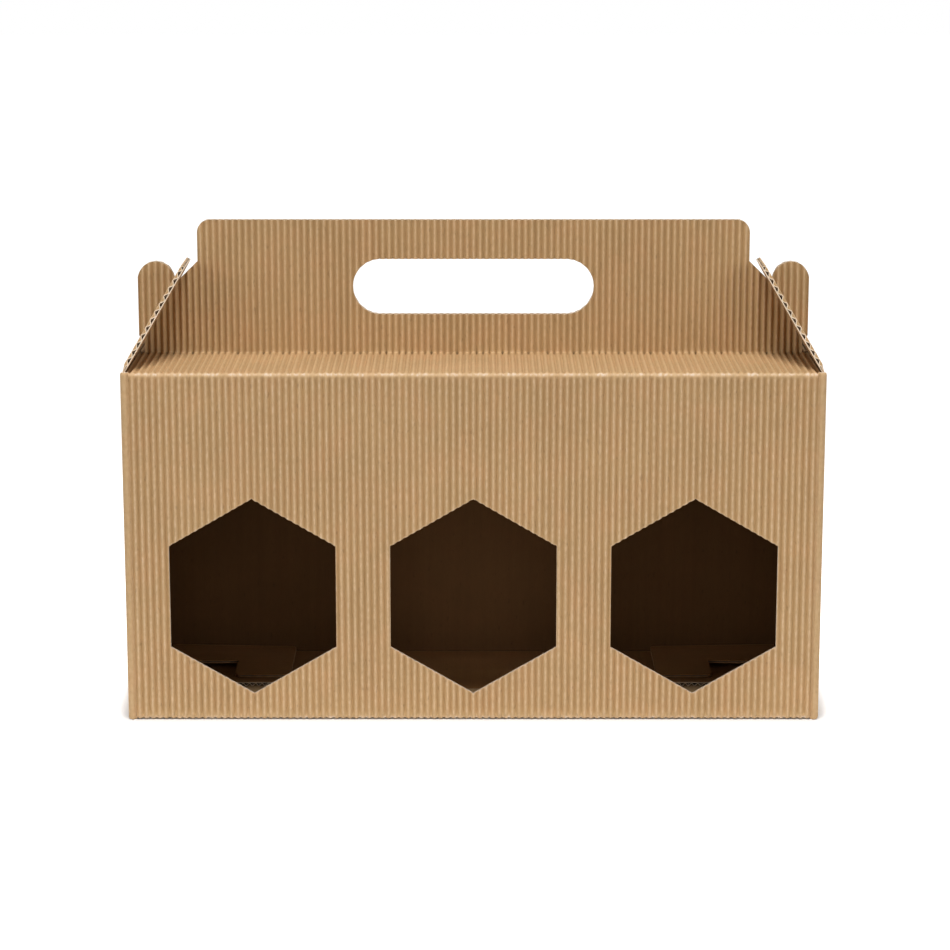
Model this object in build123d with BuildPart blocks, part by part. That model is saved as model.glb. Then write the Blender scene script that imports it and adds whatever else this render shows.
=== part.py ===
from build123d import *
import math
import os

# Jar gift box folded from one blank of single-face corrugated board, fluted side out.
# Millimetres. X is the width, -Y the front, Z up, and the box stands on Z = 0.

# Board: a smooth liner inside and flutes outside
board = 1.7
liner = 0.6
tip_drop = 0.06
flute_pitch = 2.5
crease = 2.3
handle_crease = 1.2
fold_round = 1.1
corner_land = 0.2
rim_inset = 0.15

# Body of the box, measured outside
box_width = 264.0
box_depth = 92.0
box_height = 135.0
corner_round = 1.9
inner_round = 0.8

# Windows in the front panel
window_pitch = 83.6
window_width = 63.0
window_side = 39.6
window_height = 76.2
window_middle = 48.5

# Lids and the two halves of the handle
lid_side_gap = 0.7
handle_gap = 0.3
handle_height = 51.5
handle_inset = 25.6
handle_corner = 5.0
hole_width = 93.0
hole_height = 21.5
hole_rise = 25.6
tab_width = 14.2
tab_height = 35.3
tab_neck = 2.6
tab_neck_height = 9.0
notch_clearance = 1.2
shoulder_lead = 15.6

# Glue flap of the back panel, pressed flat inside the left end
glue_flap_width = 18.0
glue_flap_board = 1.2
glue_flap_gap = 1.7
glue_flap_taper = 5.0

# Lock flaps, hinged on the top folds of the end panels
flap_lean = 60.0
flap_crease = 2.5
hinge_gap = 0.2
slit_clearance = 0.6
slit_start = 4.2
flap_strip = 3.1
flap_tip = 26.0
flap_tip_round = 6.0

# Bottom flaps, lying on one another in three layers
layer_gap = 0.1
bottom_taper = 5.0
bottom_side_gap = 3.3
front_flap_end = -2.0
tongue_half = 57.0
tongue_root = -10.0
tongue_rise = 4.0
tongue_end = 22.0
tongue_round = 6.0
tongue_slot = 1.0
bend_round = 6.0
leg_round = 2.5
rear_flap_flat = 14.0
rear_flap_rise = 2.0
rear_flap_end = -12.0
recess_half = 61.0
recess_end = 8.0
side_root_front = -38.0
side_root_rear = 42.0
hook_tip = 72.7
hook_neck = 94.8
hook_shoulder = 110.0
hook_front = -2.0
hook_back = 18.0
hook_rear = 39.0
hook_round = 2.5
post_depth = 3.0

# Derived sizes
fold_height = board - liner
flute_height = fold_height - tip_drop
half_width = box_width / 2
half_depth = box_depth / 2
liner_x = half_width - board
liner_y = half_depth - board
wall_middle = half_depth - board / 2
lid_half = liner_x - lid_side_gap
shelf_under = box_height - board
handle_back = handle_gap / 2
handle_front = handle_back + board
handle_half = half_width - handle_inset
hinge_x = liner_x + liner / 2
hinge_z = box_height - liner / 2
flute_face = half_width - fold_height
wall_top = hinge_z - liner / 2 - hinge_gap
level = board + layer_gap
side_floor = 2 * level
flap_half = half_width - bottom_side_gap

lean_cos = math.cos(math.radians(flap_lean))
lean_sin = math.sin(math.radians(flap_lean))
tab_radius = tab_width / 2
tab_x = lid_half - tab_radius
tab_z = box_height + tab_height - tab_radius
slit_end = math.hypot(hinge_x - tab_x, tab_z - hinge_z) + tab_radius + slit_clearance
slit_half = handle_front + slit_clearance
flap_length = slit_end + flap_strip
flap_root_half = liner_y - hinge_gap
clear_off = liner / 2 + notch_clearance
clear_x = hinge_x - slit_end * lean_cos - clear_off * lean_sin
clear_z = hinge_z + slit_end * lean_sin - clear_off * lean_cos
shoulder_slope = math.tan(math.radians(flap_lean - shoulder_lead))
shoulder_z = clear_z + (clear_x - handle_half) * shoulder_slope
tab_inside = lid_half - tab_width
notch_z = clear_z - (tab_inside - clear_x) * shoulder_slope


def flutes(half_run):
    """Points (along, rise) of whole flutes on both sides of a ridge at 0, from valley to valley."""
    ridges = int((half_run - flute_pitch / 2) // flute_pitch)
    points = [(-(ridges + 0.5) * flute_pitch, 0)]
    for k in range(-ridges, ridges + 1):
        ridge = k * flute_pitch
        points.append((ridge, flute_height))
        points.append((ridge + flute_pitch / 2, 0))
    return points


def fluted_board(plane, half_run, length):
    """Board drawn on the plane (x across the flutes, y to the fluted side), run along its normal."""
    points = flutes(half_run + flute_pitch)
    with BuildSketch(plane) as section:
        with BuildLine():
            Polyline(*points, (points[-1][0], -liner), (points[0][0], -liner), close=True)
        make_face()
    extrude(section.sketch, amount=length)


def panel_line(half_run, face, angle):
    """Fluted outside line of an upright panel, turned about Z, ridges level with its corners."""
    slope = flute_pitch / 2
    points = flutes(half_run - corner_round - corner_land - slope)
    first = (points[0][0] - slope, fold_height)
    last = (points[-1][0] + slope, fold_height)
    corner = half_run - corner_round
    points = [(-corner, fold_height), first, *points, last, (corner, fold_height)]
    turned = [Vector(along, -face - rise).rotate(Axis.Z, angle) for along, rise in points]
    Polyline(*turned)


# Front lid: shelf, handle half with tabs, notches and hand hole
with BuildPart() as front_lid:
    shelf_start = -half_depth + crease
    shelf_end = -handle_front - handle_crease
    fluted_board(
        Plane((0, shelf_start, shelf_under + liner), x_dir=(-1, 0, 0), z_dir=(0, 1, 0)),
        lid_half,
        shelf_end - shelf_start,
    )
    handle_start = box_height + handle_crease
    fluted_board(
        Plane((0, -handle_back - liner, handle_start), x_dir=(-1, 0, 0), z_dir=(0, 0, 1)),
        lid_half,
        box_height + handle_height - handle_start,
    )
    with BuildSketch(Plane.YZ):
        with BuildLine():
            FilletPolyline(
                (-wall_middle, box_height - crease),
                (-wall_middle, shelf_under + board / 2),
                (shelf_start, shelf_under + board / 2),
                radius=fold_round,
            )
            FilletPolyline(
                (shelf_end, shelf_under + board / 2),
                (-handle_back - board / 2, shelf_under + board / 2),
                (-handle_back - board / 2, handle_start),
                radius=fold_round,
            )
        trace(line_width=board)
    extrude(amount=lid_half, both=True)
    # Hand hole and the outline of handle, notches and tabs
    with BuildSketch(Plane.XZ):
        with BuildLine():
            top = box_height + handle_height
            edge = FilletPolyline(
                (0, top),
                (handle_half, top),
                (handle_half, shoulder_z),
                radius=handle_corner,
            )
            Polyline(
                edge @ 1,
                (tab_inside, notch_z),
                (tab_inside, tab_z),
            )
            ThreePointArc(
                (tab_inside, tab_z),
                (tab_x, tab_z + tab_radius),
                (lid_half, tab_z),
            )
            Polyline(
                (lid_half, tab_z),
                (lid_half, box_height + tab_neck_height),
                (lid_half - tab_neck, box_height),
                (lid_half, box_height),
                (lid_half, 0),
                (0, 0),
            )
            mirror(about=Plane.YZ)
        make_face()
        with Locations((0, box_height + hole_rise)):
            SlotOverall(hole_width, hole_height, mode=Mode.SUBTRACT)
    extrude(amount=box_depth, both=True, mode=Mode.INTERSECT)

# Lock flap of the left end, drawn where it leans when the box is shut
with BuildPart() as left_lock_flap:
    hinge = (-hinge_x, 0, hinge_z)
    flap_along = Plane(hinge, x_dir=(0, 1, 0), z_dir=(lean_cos, 0, lean_sin))
    flap_side = Plane(hinge, x_dir=(lean_cos, 0, lean_sin), z_dir=(0, -1, 0))
    flap_face = Plane(hinge, x_dir=(0, -1, 0), z_dir=(-lean_sin, 0, lean_cos))
    flap_board = flap_along.offset(flap_crease)
    flap_board.origin += flap_along.y_dir * (liner / 2)
    fluted_board(flap_board, flap_root_half, flap_length - flap_crease)
    # Bare liner beside the fold, rounded on the hinge line
    with BuildSketch(flap_side):
        with BuildLine():
            Line((0, 0), (flap_crease, 0))
        trace(line_width=liner)
        Circle(liner / 2)
    extrude(amount=flap_root_half, both=True)
    # Tapered outline with the slit that takes both handle tabs
    with BuildSketch(flap_face):
        with BuildLine():
            FilletPolyline(
                (flap_root_half, flap_crease),
                (flap_tip / 2, flap_length),
                (0, flap_length),
                radius=flap_tip_round,
            )
            Polyline((flap_root_half, flap_crease), (flap_root_half, -board), (0, -board))
            mirror(about=Plane.YZ)
        make_face()
        with Locations((0, (slit_start + slit_end) / 2)):
            Rectangle(2 * slit_half, slit_end - slit_start, mode=Mode.SUBTRACT)
    extrude(amount=2 * board, both=True, mode=Mode.INTERSECT)
    left_lock_flap.part.label = "left_lock_flap"

with BuildPart() as right_lock_flap:
    mirror(left_lock_flap.part, about=Plane.YZ)
    right_lock_flap.part.label = "right_lock_flap"

# Front bottom flap: lowest layer, with a tongue that climbs through the rear flap
with BuildPart() as front_flap:
    with BuildSketch(Plane.YZ):
        with BuildLine():
            FilletPolyline(
                (-wall_middle, crease),
                (-wall_middle, board / 2),
                (front_flap_end, board / 2),
                radius=fold_round,
            )
        trace(line_width=board)
    extrude(amount=flap_half, both=True)
    with BuildSketch(Plane.XY.offset(-board)):
        with BuildLine():
            Polyline(
                (tongue_half + tongue_slot, front_flap_end + board),
                (tongue_half + tongue_slot, tongue_root),
                (-tongue_half - tongue_slot, tongue_root),
                (-tongue_half - tongue_slot, front_flap_end + board),
                close=True,
            )
        make_face()
    extrude(amount=3 * board, mode=Mode.SUBTRACT)
    with BuildSketch(Plane.YZ):
        with BuildLine():
            FilletPolyline(
                (tongue_root - board, board / 2),
                (tongue_root, board / 2),
                (tongue_rise, side_floor + board / 2),
                (tongue_end, side_floor + board / 2),
                radius=bend_round,
            )
        trace(line_width=board)
    extrude(amount=tongue_half, both=True)
    with BuildSketch():
        with BuildLine():
            Polyline(
                (0, -half_depth),
                (flap_half, -half_depth),
                (flap_half - bottom_taper, front_flap_end),
                (tongue_half, front_flap_end),
            )
            FilletPolyline(
                (tongue_half, front_flap_end),
                (tongue_half - bottom_taper, tongue_end),
                (0, tongue_end),
                radius=tongue_round,
            )
            mirror(about=Plane.YZ)
        make_face()
    extrude(amount=box_height, mode=Mode.INTERSECT)

# Rear bottom flap: flat behind, two legs in front that lie on the front flap
with BuildPart() as rear_flap:
    with BuildSketch(Plane.YZ):
        with BuildLine():
            FilletPolyline(
                (wall_middle, crease),
                (wall_middle, board / 2),
                (rear_flap_flat, board / 2),
                (rear_flap_rise, level + board / 2),
                (rear_flap_end, level + board / 2),
                radius=fold_round,
            )
        trace(line_width=board)
    extrude(amount=flap_half, both=True)
    with BuildSketch():
        with BuildLine():
            Polyline(
                (0, half_depth),
                (flap_half, half_depth),
                (flap_half - bottom_taper, rear_flap_end),
            )
            FilletPolyline(
                (flap_half - bottom_taper, rear_flap_end),
                (recess_half + bottom_taper, rear_flap_end),
                (recess_half, recess_end),
                (0, recess_end),
                radius=leg_round,
            )
            mirror(about=Plane.YZ)
        make_face()
    extrude(amount=box_height, mode=Mode.INTERSECT)

# Hooked flap from the left end, top layer of the bottom
with BuildPart() as side_flap:
    with BuildSketch(Plane.XY.offset(side_floor)):
        with BuildLine():
            FilletPolyline(
                (-half_width, side_root_rear),
                (-hook_tip, hook_rear),
                (-hook_tip, hook_front),
                (-hook_neck, hook_front),
                (-hook_neck, hook_back),
                (-hook_shoulder, hook_back),
                (-half_width, side_root_front),
                radius=hook_round,
            )
            Line(
                (-half_width, side_root_rear),
                (-half_width, side_root_front),
            )
        make_face()
    extrude(amount=board)
    fold_edge = side_flap.edges().filter_by(Axis.Y).sort_by(Axis.X)[:2].sort_by(Axis.Z)[0]
    fillet(fold_edge, fold_round)

# The whole folded body: walls, bottom flaps, lids and both halves of the handle
with BuildPart() as carton:
    # Creased ends of the upright corners, above and below the fluted walls
    for rim_plane in (Plane.XY.offset(rim_inset), Plane.XY.offset(box_height - crease)):
        with BuildSketch(rim_plane):
            RectangleRounded(box_width - 2 * rim_inset, box_depth - 2 * rim_inset, corner_round)
            RectangleRounded(2 * liner_x, 2 * liner_y, inner_round, mode=Mode.SUBTRACT)
            Rectangle(2 * flap_half - board, box_depth, mode=Mode.SUBTRACT)
    extrude(amount=crease - rim_inset)
    # Fluted walls
    with BuildSketch(Plane.XY.offset(crease)):
        corner_x = half_width - corner_round
        corner_y = half_depth - corner_round
        with BuildLine():
            panel_line(half_width, half_depth - fold_height, 0)
            CenterArc((corner_x, -corner_y), corner_round, 270, 90)
            panel_line(half_depth, half_width - fold_height, 90)
            CenterArc((corner_x, corner_y), corner_round, 0, 90)
            panel_line(half_width, half_depth - fold_height, 180)
            CenterArc((-corner_x, corner_y), corner_round, 90, 90)
            panel_line(half_depth, half_width - fold_height, 270)
            CenterArc((-corner_x, -corner_y), corner_round, 180, 90)
        make_face()
        RectangleRounded(2 * liner_x, 2 * liner_y, inner_round, mode=Mode.SUBTRACT)
    extrude(amount=box_height - 2 * crease)
    # Windows
    with BuildSketch(Plane.XZ.offset(liner_y - board)):
        for middle in (-window_pitch, 0, window_pitch):
            with BuildLine():
                Polyline(
                    (middle, window_middle + window_height / 2),
                    (middle + window_width / 2, window_middle + window_side / 2),
                    (middle + window_width / 2, window_middle - window_side / 2),
                    (middle, window_middle - window_height / 2),
                    (middle - window_width / 2, window_middle - window_side / 2),
                    (middle - window_width / 2, window_middle + window_side / 2),
                    close=True,
                )
            make_face()
    extrude(amount=3 * board, mode=Mode.SUBTRACT)
    # Ends: bare liner under the lock flap
    with BuildSketch(Plane.XZ):
        with BuildLine():
            Polyline(
                (half_width + board, hinge_z - flap_crease),
                (flute_face, hinge_z - flap_crease),
                (flute_face, wall_top),
                (liner_x - board, wall_top),
                (liner_x - board, box_height + board),
                (half_width + board, box_height + board),
                close=True,
            )
        make_face()
        mirror(about=Plane.YZ)
    extrude(amount=liner_y, both=True, mode=Mode.SUBTRACT)
    # Ends: stepped up at the bottom by two layers of board
    with BuildSketch(Plane.XZ):
        with BuildLine():
            Polyline(
                (half_width + board, -board),
                (liner_x - board, -board),
                (liner_x - board, side_floor),
                (flute_face, side_floor),
                (flute_face, side_floor + board),
                (half_width + board, side_floor + board),
                close=True,
            )
        make_face()
        mirror(about=Plane.YZ)
    extrude(amount=half_depth - post_depth, both=True, mode=Mode.SUBTRACT)
    # Glue flap inside the left end, its ends cut at a slant
    with BuildSketch(Plane.YZ.offset(-liner_x)):
        with BuildLine():
            glue_edge = liner_y - glue_flap_width
            glue_low = side_floor + board + glue_flap_gap
            glue_high = shelf_under - glue_flap_gap
            Polyline(
                (liner_y, glue_low),
                (liner_y, glue_high),
                (glue_edge, glue_high - glue_flap_taper),
                (glue_edge, glue_low + glue_flap_taper),
                close=True,
            )
        make_face()
    extrude(amount=glue_flap_board)
    # Flaps and lids folded from the walls
    add(front_flap.part)
    add(rear_flap.part)
    add(side_flap.part)
    mirror(side_flap.part, about=Plane.YZ)
    add(front_lid.part)
    mirror(front_lid.part, about=Plane.XZ)
    carton.part.label = "carton"

os.makedirs("parts", exist_ok=True)
export_step(carton.part, "parts/carton.step")
export_step(left_lock_flap.part, "parts/left_lock_flap.step")
export_step(right_lock_flap.part, "parts/right_lock_flap.step")
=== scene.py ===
# %% [markdown]
# # A jar gift box of fluted kraft board
# The box is one blank of single-face corrugated board: a smooth paper, the liner, on the inside and a
# wavy paper, the flutes, on the outside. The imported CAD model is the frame. It gives the places and the
# hinges, and this lesson dresses it with board that is hollow under its flutes, as the real one is.

# %% Load the frame
import math

import bpy
import numpy as np
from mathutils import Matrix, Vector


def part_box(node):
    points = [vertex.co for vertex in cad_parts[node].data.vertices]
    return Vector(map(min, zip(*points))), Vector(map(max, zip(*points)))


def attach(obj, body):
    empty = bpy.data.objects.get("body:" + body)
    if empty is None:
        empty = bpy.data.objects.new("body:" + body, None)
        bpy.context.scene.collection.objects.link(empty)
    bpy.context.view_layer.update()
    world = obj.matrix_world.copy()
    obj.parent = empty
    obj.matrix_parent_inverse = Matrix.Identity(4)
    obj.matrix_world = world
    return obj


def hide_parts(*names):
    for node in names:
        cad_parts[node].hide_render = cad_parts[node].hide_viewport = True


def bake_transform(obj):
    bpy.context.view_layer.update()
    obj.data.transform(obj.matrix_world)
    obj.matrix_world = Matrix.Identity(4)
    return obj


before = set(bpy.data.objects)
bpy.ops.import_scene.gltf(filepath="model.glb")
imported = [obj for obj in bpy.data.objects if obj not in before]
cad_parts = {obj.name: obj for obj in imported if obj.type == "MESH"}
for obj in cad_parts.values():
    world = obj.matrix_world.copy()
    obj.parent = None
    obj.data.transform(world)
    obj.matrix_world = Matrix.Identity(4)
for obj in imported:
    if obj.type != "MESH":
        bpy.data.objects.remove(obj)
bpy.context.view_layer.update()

# %% [markdown]
# ## Sizes of the folded blank
# The outside of the box comes from the frame. The other sizes are the driving dimensions of the blank in
# millimetres, and everything else is worked out from them. X is the width, -Y the front and Z is up.

# %% Outside sizes, from the frame
MM = 0.001
half_width, half_depth, handle_top = np.array(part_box("carton")[1]) / MM
print("half width, half depth and handle top in mm:", half_width, half_depth, handle_top)

# %% Sizes of the blank
board = 1.7
crease_board = 0.6
box_height = 135.0
corner_round = 1.9
fold_round = 1.1
fold_reach = 2.3
rim_inset = 0.15

window_pitch = 83.6
window_width = 63.0
window_side = 39.6
window_height = 76.2
window_middle = 48.5

lid_side_gap = 0.7
handle_gap = 0.3
handle_inset = 25.6
handle_corner = 5.0
hole_width = 93.0
hole_height = 21.5
hole_rise = 25.6
tab_width = 14.2
tab_height = 35.3
tab_neck = 2.6
tab_neck_height = 7.0
notch_clearance = 1.2
shoulder_lead = 15.6

flap_lean = math.radians(60.0)
flap_crease = 2.5
hinge_gap = 0.2
slit_clearance = 0.6
slit_start = 4.2
flap_strip = 3.1
flap_tip = 26.0
flap_tip_round = 6.0

layer_gap = 0.1
bottom_taper = 5.0
bottom_side_gap = 3.3
front_flap_end = -2.0
print("board and height of the body in mm:", board, box_height)

# %% Places worked out from the sizes
wall_middle = half_depth - board / 2
end_middle = half_width - board / 2
liner_x = half_width - board
liner_y = half_depth - board
lid_half = liner_x - lid_side_gap
shelf_middle = box_height - board / 2
handle_middle = (handle_gap + board) / 2
handle_half = half_width - handle_inset
hole_middle = box_height + hole_rise
hinge_x = liner_x + crease_board / 2
hinge_z = box_height - crease_board / 2
tab_round = tab_width / 2
tab_x = lid_half - tab_round
tab_z = box_height + tab_height - tab_round
slit_end = math.hypot(hinge_x - tab_x, tab_z - hinge_z) + tab_round + slit_clearance
slit_half = handle_gap / 2 + board + slit_clearance
flap_length = slit_end + flap_strip
flap_root_half = liner_y - hinge_gap
level = board + layer_gap
side_floor = 2 * level
flap_half = half_width - bottom_side_gap
fold_half = flap_half - bottom_taper * fold_reach / (half_depth + front_flap_end)
tab_inside = lid_half - tab_width
clear_off = crease_board / 2 + notch_clearance
clear_x = hinge_x - slit_end * math.cos(flap_lean) - clear_off * math.sin(flap_lean)
clear_z = hinge_z + slit_end * math.sin(flap_lean) - clear_off * math.cos(flap_lean)
shoulder_slope = math.tan(flap_lean - math.radians(shoulder_lead))
shoulder_z = clear_z + (clear_x - handle_half) * shoulder_slope
notch_z = clear_z - (tab_inside - clear_x) * shoulder_slope
print("lock flap length:", round(flap_length, 2), "shoulder:", round(shoulder_z, 2), round(notch_z, 2))

# %% [markdown]
# ## Paths with rounded bends
# Board is a flat sheet that bends only along its creases. A panel is therefore drawn as a profile, its
# flutes, carried along a path of straight legs and arcs. A path is kept as its heading: constant on a leg,
# turning evenly on an arc. Then one formula serves both, because the chord of an arc of length s and turn
# a is s sin(a/2) / (a/2), which is just s where nothing turns.

# %% Bent paths
outline_samples = 600


def bent_path(corners, radius):
    """A polyline with its corners rounded, as the start, heading, bend and place of each leg and arc.

    A corner that turns by a takes radius * tan(|a| / 2) off both legs beside it.
    """
    corners = np.array(corners, float)
    legs = np.diff(corners, axis=0)
    headings = np.unwrap(np.arctan2(legs[:, 1], legs[:, 0]))
    turns = np.diff(headings)
    trims = radius * np.tan(np.abs(turns) / 2)
    straight = np.hypot(*legs.T) - np.append(trims, 0) - np.insert(trims, 0, 0)
    lengths = np.zeros(2 * len(legs) - 1)
    lengths[0::2] = straight
    lengths[1::2] = radius * np.abs(turns)
    bends = np.zeros_like(lengths)
    bends[1::2] = np.sign(turns) / radius
    starts = np.insert(np.cumsum(lengths), 0, 0)
    start_headings = headings[0] + np.insert(np.cumsum(bends * lengths), 0, 0)
    chords = chord(lengths, bends, start_headings[:-1])
    places = corners[0] + np.vstack([[0, 0], np.cumsum(chords, axis=0)])
    return {"starts": starts, "headings": start_headings, "bends": bends, "places": places}


def chord(length, bend, heading):
    """Step from the start to the end of an arc: length * sinc(turn / 2) along the middle heading."""
    turn = bend * length
    size = length * np.sinc(turn / (2 * np.pi))
    return np.stack([size * np.cos(heading + turn / 2), size * np.sin(heading + turn / 2)], axis=-1)


def along_path(path, distance):
    """Point, and unit normal on the left hand, at a distance along a path."""
    piece = np.searchsorted(path["starts"], distance, side="right") - 1
    piece = piece.clip(0, len(path["bends"]) - 1)
    past = distance - path["starts"][piece]
    bend = path["bends"][piece]
    heading = path["headings"][piece]
    point = path["places"][piece] + chord(past, bend, heading)
    heading = heading + bend * past
    return point, np.stack([-np.sin(heading), np.cos(heading)], axis=-1)


def outline_heights(corners, radius, across):
    """Height over each place across of an outline with rounded corners that runs one way in across."""
    path = bent_path(corners, radius)
    points = along_path(path, np.linspace(0, path["starts"][-1], outline_samples))[0]
    points = points[np.argsort(points[:, 0])]
    return np.interp(across, points[:, 0], points[:, 1])


square_corner = bent_path([(0, 0), (10, 0), (10, 10)], 2.0)
print("way round a square corner of radius 2, legs of 10:", round(square_corner["starts"][-1], 2))

# %% [markdown]
# ## A closed sheet of paper
# Each paper of the board is a thin closed shell. It is a grid of two parameters, across and along the
# flutes, taken twice: once for its outer and once for its inner face. Cells in a window or past a cut edge
# are left out, and every edge that only one cell uses gets a narrow rim. Rows may meet, as at a slanted
# cut: there the grid points share one number, and the cell becomes a triangle. Windows cut this way have
# true edges, with no boolean to clean up after.

# %% Grid to closed shell
OUTER, INNER, RIM = range(3)
rows_meet = 1e-6


def closed_sheet(place, across, along, kept, outer, inner, pale):
    """Shell between the heights outer and inner over a grid, with rims round the cells that are kept. Its
    volume, a sixth of the sum of a x b . c over its triangles, is above 0 when its faces point outwards.
    """
    numbers = np.arange(along.size).reshape(along.shape)
    for row in range(1, len(along)):
        meets = np.abs(along[row] - along[row - 1]) < rows_meet
        numbers[row, meets] = numbers[row - 1, meets]
    corners = [numbers[:-1, :-1], numbers[:-1, 1:], numbers[1:, 1:], numbers[1:, :-1]]
    cells = np.stack(corners, axis=-1)[kept]
    doubled = cells == np.roll(cells, -1, axis=1)
    cells = cells[doubled.sum(axis=1) < 2]
    edges = np.stack([cells, np.roll(cells, -1, axis=1)], axis=-1).reshape(-1, 2)
    edges = edges[edges[:, 0] != edges[:, 1]]
    keys = edges.min(axis=1) * along.size + edges.max(axis=1)
    first, uses = np.unique(keys, return_index=True, return_counts=True)[1:]
    rim = edges[first[uses == 1]]
    rims = np.stack([rim[:, 1], rim[:, 0], rim[:, 0] + along.size, rim[:, 1] + along.size], axis=1)
    faces = np.concatenate([cells, cells[:, ::-1] + along.size, rims])
    grid = np.broadcast_to(across, along.shape)
    points = np.concatenate([place(grid, along, h).reshape(-1, 3) for h in (outer, inner)])
    facts = np.stack([grid, along, pale], axis=-1).reshape(-1, 3)
    used, faces = np.unique(faces, return_inverse=True)
    faces = faces.reshape(-1, 4)
    points = points[used]
    a, b, c, d = points[faces].transpose(1, 0, 2)
    volume = (np.cross(a, b) * c).sum() + (np.cross(a, c) * d).sum()
    if volume < 0:
        faces = faces[:, ::-1]
    layer = np.repeat([OUTER, INNER, RIM], [len(cells), len(cells), len(rims)])
    return {"points": points, "faces": faces, "facts": np.tile(facts, (2, 1))[used], "layer": layer}


# %% Shells to one object
# The last three finishes are painted shade: darker kraft for the flute hollows, the inside and its bottom.
FLUTES, CUT, LINER, SHADED_HOLLOW, SHADED_INSIDE, SHADED_BOTTOM = range(6)
sharp_angle = math.radians(50)


def make_piece(name, sheets, body, finishes):
    """Joins shells into one smooth mesh with sharp rims. It rides on a body, if one is named, and keeps its
    board facts.
    """
    counts = [len(sheet["points"]) for sheet in sheets]
    offsets = np.insert(np.cumsum(counts), 0, 0)
    points = np.concatenate([sheet["points"] for sheet in sheets])
    faces = np.concatenate([sheet["faces"] + start for sheet, start in zip(sheets, offsets)])
    facts = np.concatenate([sheet["facts"] for sheet in sheets])
    face_finish = [np.array(sheet["finish"])[sheet["layer"]] for sheet in sheets]
    doubled = faces == np.roll(faces, -1, axis=1)
    sides = 4 - doubled.sum(axis=1)
    mesh = bpy.data.meshes.new(name)
    mesh.vertices.add(len(points))
    mesh.vertices.foreach_set("co", (points * MM).ravel())
    mesh.loops.add(int(sides.sum()))
    mesh.loops.foreach_set("vertex_index", faces[~doubled].astype(np.int32))
    mesh.polygons.add(len(faces))
    mesh.polygons.foreach_set("loop_start", (np.cumsum(sides) - sides).astype(np.int32))
    mesh.polygons.foreach_set("material_index", np.concatenate(face_finish).astype(np.int32))
    mesh.update(calc_edges=True)
    mesh.attributes.new("board_place", "FLOAT_VECTOR", "POINT").data.foreach_set("vector", facts.ravel())
    mesh.shade_smooth()
    mesh.set_sharp_from_angle(angle=sharp_angle)
    for finish in finishes:
        mesh.materials.append(finish)
    piece = bpy.data.objects.new(name, mesh)
    bpy.context.collection.objects.link(piece)
    if body:
        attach(piece, body)
    print(name, "triangles:", int((sides - 2).sum()))
    return piece


# %% [markdown]
# ## The flutes
# The fluted paper is a cosine wave of 2.5 mm pitch that stands on the liner. Its paper has an even
# thickness, so its faces lie half a paper away along the normal, which is half a paper times
# sqrt(1 + slope^2) measured straight out. A crease presses the wave flat. Real flutes are a little uneven,
# so slow sines shift them sideways.

# %% Heights of the fluted paper
flute_pitch = 2.5
flute_paper = 0.3
liner_paper = 0.4
flute_samples = 10
paper_bite = 0.02
crest_middle = board - flute_paper / 2
flute_depth = crest_middle - liner_paper - flute_paper / 2 + paper_bite
press_flatten = 0.7
wander = 0.1
long_wave = (31, 47)
short_wave = (13, -29)
short_wave_start = 1.7
print("depth of the flutes in mm:", round(flute_depth, 2))


def sway(across, along):
    """Slow uneven wave over a panel, between -1.5 and 1.5: a long sine and half of a shorter one."""
    slow = np.sin(across / long_wave[0] + along / long_wave[1])
    return slow + np.sin(across / short_wave[0] + along / short_wave[1] + short_wave_start) / 2


def uneven(across, rates):
    """The same wave sped up, so that it differs from flute to flute."""
    return sway(across * rates[0], across * rates[1])


def flute_heights(across, along, press, sink, pinch):
    """Outer and inner height of the fluted paper: crest - depth * (1 - cos(2 pi u / pitch)) / 2, plus and
    minus half a paper. A press of 1 flattens most of the depth and lowers the crest by sink. A pinch takes
    pinch * sin(angle) off the angle, which widens the crests and narrows the valleys. The third result is
    1 on the crests, which are made pale by rubbing and a painted highlight, and 0 beside them.
    """
    even = 2 * np.pi * (across + wander * sway(across, along)) / flute_pitch
    turn = even - pinch * np.sin(even)
    depth = flute_depth * (1 - press_flatten * press)
    middle = crest_middle - sink * press - depth * (1 - np.cos(turn)) / 2
    slope = depth * np.pi / flute_pitch * np.sin(turn) * (1 - pinch * np.cos(even))
    half_paper = flute_paper / 2 * np.sqrt(1 + slope ** 2)
    return middle + half_paper, middle - half_paper, ((1 + np.cos(turn)) / 2) ** 2


# %% Columns and rows of a panel
stop_digits = 4
least_apart = 0.3


def columns(low, high, stops, step):
    """Even places from low to high, the stops of the outline in between, and no two close together."""
    stops = np.unique(np.round(np.concatenate([[low, high], stops]), stop_digits))
    stops = stops[(stops >= low) & (stops <= high)]
    even = np.arange(math.ceil(low / step), math.floor(high / step) + 1) * step
    apart = np.abs(even[:, None] - stops).min(axis=1)
    return np.sort(np.concatenate([stops, even[apart > least_apart * step]]))


def middles(across):
    """Middle of each column of cells."""
    return (across[:-1] + across[1:]) / 2


def both_sides(*places):
    """The places and their mirror images."""
    places = np.concatenate([np.atleast_1d(place) for place in places])
    return np.concatenate([places, -places])


def rows_between(low, high, count):
    """Curves at even shares of the way from one curve to the next, the first left out."""
    shares = np.linspace(0, 1, count + 1)[1:, None]
    return list(low + (high - low) * shares)


def every_cell(rows, across):
    """A mask that keeps all cells between the rows and columns."""
    return np.ones((len(rows) - 1, len(across) - 1), bool)


print("columns of a flute:", len(columns(0, flute_pitch, [], flute_pitch / flute_samples)) - 1)

# %% [markdown]
# ## The board of one panel
# A panel is two such sheets, the fluted paper and the liner under it. Rubbing and folding leave the paper
# pale, so the sheet also carries how pale it is: on the crests that touch things, partly as a painted
# highlight, and in patches on its creases. It also carries painted light and painted shade.

# %% Fluted paper and liner
press_fade = 1.3
fold_sink = 0.15
liner_step = 6.0
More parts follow.
